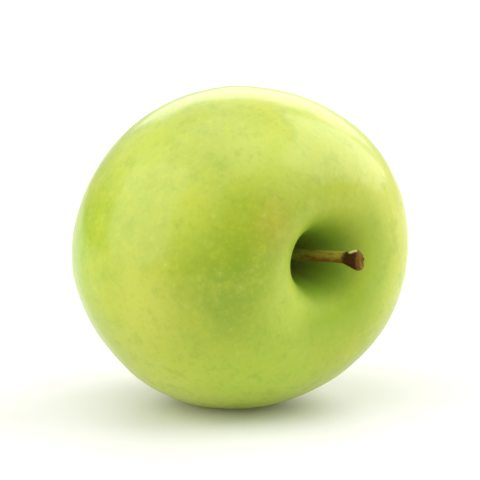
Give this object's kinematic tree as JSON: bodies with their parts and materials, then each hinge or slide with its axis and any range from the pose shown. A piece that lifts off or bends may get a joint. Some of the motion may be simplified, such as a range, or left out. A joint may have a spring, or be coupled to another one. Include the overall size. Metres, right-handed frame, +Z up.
{
  "type": "whole green apple",
  "caption": "Whole green apple lying on its cheek, with a woody stem in a deep funnel at the top end and a small dried calyx in a shallow basin at the other.",
  "frame": {"origin": "middle of the bounding box in plan, on the surface the apple lies on", "axes": "+Z up; the stem end points between +X and -Y, 47 degrees round from +X, and rises 2.4 degrees"},
  "size_m": [0.0746, 0.0706, 0.0701],
  "materials": {
    "skin": "waxy satin, yellow green with fine pale dots",
    "stem": "dry, brown, olive on one side",
    "calyx": "dry, matt, dark brown"
  },
  "bodies": {
    "root": {"body": "skin", "stem": "stem", "calyx": "calyx"}
  },
  "joints": []
}
